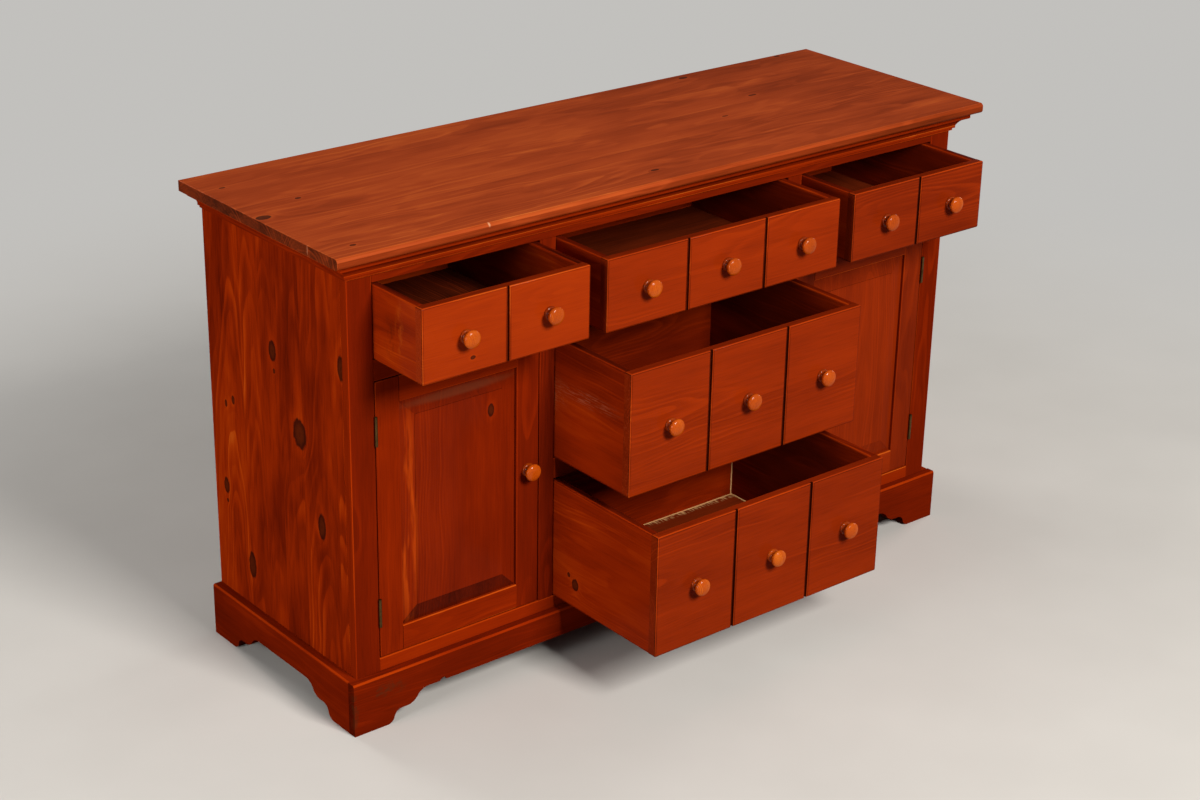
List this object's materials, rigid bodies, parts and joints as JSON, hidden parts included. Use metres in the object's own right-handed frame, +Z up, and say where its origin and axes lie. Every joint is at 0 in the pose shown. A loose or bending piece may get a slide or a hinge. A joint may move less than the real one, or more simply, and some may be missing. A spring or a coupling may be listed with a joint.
{
  "type": "sideboard",
  "caption": "Stained pine sideboard with inset drawers, raised-panel doors, a moulded top and a scroll-cut bracket plinth.",
  "frame": {"origin": "on the floor, under the middle of the box that holds the sideboard with its drawers standing open as in the picture", "axes": "+X along the front, to the right for someone facing it; +Y from the front to the back; +Z up"},
  "size_m": [1.524, 0.783, 0.914],
  "materials": {
    "stained_pine": "red mahogany stain under gloss lacquer",
    "drawer_pine": "red mahogany stain, satin",
    "turned_pine": "lighter red stain under gloss lacquer",
    "stained_plywood": "thin stain, satin",
    "inner_pine": "bare planed wood",
    "hinge_brass": "polished, slightly tarnished",
    "strike_steel": "zinc plated",
    "catch_plastic": "moulded brown plastic"
  },
  "bodies": {
    "case": {"back_panel": "stained_plywood", "bottom_board": "stained_pine", "bottom_rail": "stained_pine", "corner_blocks": "inner_pine", "door_catches": "catch_plastic", "drawer_guides_and_stops": "inner_pine", "drawer_runners": "inner_pine", "front_moulding": "stained_pine", "hinge_frame_leaves": "hinge_brass", "hinge_pins": "hinge_brass", "inner_stiles": "stained_pine", "kickers": "inner_pine", "left_side_panel": "stained_pine", "middle_rails": "stained_pine", "outer_stiles": "stained_pine", "partitions": "stained_pine", "plinth_front": "stained_pine", "plinth_left": "stained_pine", "plinth_right": "stained_pine", "rear_stretcher": "inner_pine", "return_mouldings": "stained_pine", "right_side_panel": "stained_pine", "shelf_cleats": "inner_pine", "shelves": "stained_pine", "top_board": "stained_pine", "top_rail": "stained_pine"},
    "left_drawer": {"left_drawer_bottom": "stained_plywood", "left_drawer_box": "drawer_pine", "left_drawer_front": "stained_pine", "left_drawer_knobs": "turned_pine"},
    "right_drawer": {"right_drawer_bottom": "stained_plywood", "right_drawer_box": "drawer_pine", "right_drawer_front": "stained_pine", "right_drawer_knobs": "turned_pine"},
    "top_drawer": {"top_drawer_bottom": "stained_plywood", "top_drawer_box": "drawer_pine", "top_drawer_front": "stained_pine", "top_drawer_knobs": "turned_pine"},
    "middle_drawer": {"middle_drawer_bottom": "stained_plywood", "middle_drawer_box": "drawer_pine", "middle_drawer_front": "stained_pine", "middle_drawer_knobs": "turned_pine"},
    "bottom_drawer": {"bottom_drawer_bottom": "stained_plywood", "bottom_drawer_box": "drawer_pine", "bottom_drawer_front": "stained_pine", "bottom_drawer_knobs": "turned_pine"},
    "left_door": {"left_door_hinge_leaves": "hinge_brass", "left_door_hinge_stile": "stained_pine", "left_door_knob": "turned_pine", "left_door_lock_stile": "stained_pine", "left_door_panel": "stained_pine", "left_door_rails": "stained_pine", "left_door_strike": "strike_steel"},
    "right_door": {"right_door_hinge_leaves": "hinge_brass", "right_door_hinge_stile": "stained_pine", "right_door_knob": "turned_pine", "right_door_lock_stile": "stained_pine", "right_door_panel": "stained_pine", "right_door_rails": "stained_pine", "right_door_strike": "strike_steel"}
  },
  "joints": [
    {"name": "left_drawer_slide", "type": "slide", "parent": "case", "child": "left_drawer", "axis": [0, -1, 0], "range_m": [-0.142, 0.198]},
    {"name": "right_drawer_slide", "type": "slide", "parent": "case", "child": "right_drawer", "axis": [0, -1, 0], "range_m": [-0.142, 0.198]},
    {"name": "top_drawer_slide", "type": "slide", "parent": "case", "child": "top_drawer", "axis": [0, -1, 0], "range_m": [-0.142, 0.198]},
    {"name": "middle_drawer_slide", "type": "slide", "parent": "case", "child": "middle_drawer", "axis": [0, -1, 0], "range_m": [-0.212, 0.128]},
    {"name": "bottom_drawer_slide", "type": "slide", "parent": "case", "child": "bottom_drawer", "axis": [0, -1, 0], "range_m": [-0.295, 0.045]},
    {"name": "left_door_hinge", "type": "hinge", "parent": "case", "child": "left_door", "pos_m": [-0.6665, -0.0745, 0.396], "axis": [0, 0, -1], "range_deg": [0, 170]},
    {"name": "right_door_hinge", "type": "hinge", "parent": "case", "child": "right_door", "pos_m": [0.6665, -0.0745, 0.396], "axis": [0, 0, 1], "range_deg": [0, 170]}
  ]
}
